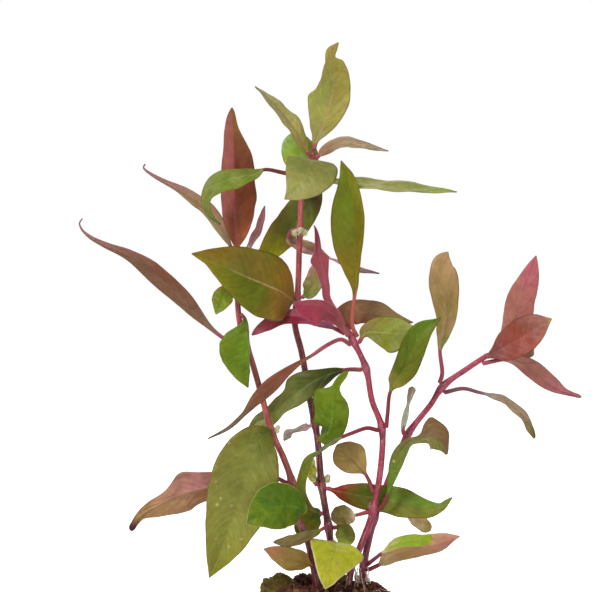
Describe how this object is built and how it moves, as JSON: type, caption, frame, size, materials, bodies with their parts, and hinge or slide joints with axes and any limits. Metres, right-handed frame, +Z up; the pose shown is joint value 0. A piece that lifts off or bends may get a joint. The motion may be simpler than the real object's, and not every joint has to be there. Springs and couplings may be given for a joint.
{
  "type": "red hygrophila",
  "caption": "Rooted tuft of a red-leaved aquarium stem plant: leafy stems with opposite lance-shaped leaves and small flower tufts, standing on the flat base of its root plug.",
  "frame": {"origin": "centre of the root plug's flat underside", "axes": "+Z up along the stems, -Y towards the side that the picture shows, +X to the right seen from there"},
  "size_m": [0.1674, 0.0454, 0.2031],
  "materials": {
    "stem": "satin",
    "leaf_green": "satin",
    "leaf_olive": "satin",
    "leaf_red": "satin",
    "leaf_brown": "satin",
    "leaf_pale": "satin",
    "flower": "matte",
    "plug": "matte"
  },
  "bodies": {
    "root": {"growing_plug": "plug", "stem_tall": "stem", "stem_left": "stem", "stem_middle": "stem", "stem_right": "stem", "leaf_tall_crown_upright": "leaf_olive", "leaf_tall_crown_upper_left": "leaf_olive", "leaf_tall_crown_right": "leaf_red", "leaf_tall_crown_front": "leaf_olive", "leaf_tall_crown_back": "leaf_green", "leaf_tall_upper_right": "leaf_olive", "leaf_tall_upper_curled": "leaf_green", "leaf_tall_upper_shaded": "leaf_green", "leaf_tall_middle_narrow": "leaf_red", "leaf_tall_middle_broad": "leaf_olive", "leaf_tall_middle_small": "leaf_olive", "leaf_tall_low_cupped": "leaf_green", "leaf_tall_low_grey": "leaf_brown", "leaf_tall_foot_long": "leaf_green", "leaf_tall_foot_small": "leaf_pale", "leaf_tall_foot_shaded": "leaf_green", "leaf_tall_foot_folded": "leaf_olive", "leaf_tall_foot_yellow": "leaf_pale", "leaf_tall_foot_short": "leaf_green", "leaf_left_crown_upright": "leaf_brown", "leaf_left_crown_hooked": "leaf_red", "leaf_left_crown_mauve": "leaf_red", "leaf_left_crown_drooping": "leaf_green", "leaf_left_upper_folded": "leaf_green", "leaf_left_upper_long": "leaf_brown", "leaf_left_middle_broad": "leaf_olive", "leaf_left_low_ragged": "leaf_red", "leaf_left_foot_round": "leaf_green", "leaf_left_foot_tan": "leaf_brown", "leaf_middle_crown_crimson": "leaf_red", "leaf_middle_crown_front": "leaf_red", "leaf_middle_crown_left": "leaf_red", "leaf_middle_crown_upright": "leaf_olive", "leaf_middle_crown_brown": "leaf_brown", "leaf_middle_crown_right": "leaf_olive", "leaf_middle_crown_arched": "leaf_brown", "leaf_middle_upper_wavy": "leaf_green", "leaf_middle_fork_green": "leaf_green", "leaf_middle_fork_twisted": "leaf_green", "leaf_middle_low_round": "leaf_brown", "leaf_middle_low_strap": "leaf_green", "leaf_middle_low_short": "leaf_olive", "leaf_right_crown_upright": "leaf_red", "leaf_right_crown_broad": "leaf_red", "leaf_right_crown_lower": "leaf_red", "leaf_right_crown_hidden": "leaf_red", "leaf_right_fork_tan": "leaf_brown", "leaf_right_fork_drooping": "leaf_olive", "leaf_right_low_grey": "leaf_olive", "leaf_right_foot_pale": "leaf_olive", "leaf_right_foot_pink": "leaf_red", "leaf_right_foot_lime": "leaf_pale", "flowers_tall_upper": "flower", "flowers_tall_lower": "flower", "flowers_left": "flower"}
  },
  "joints": []
}
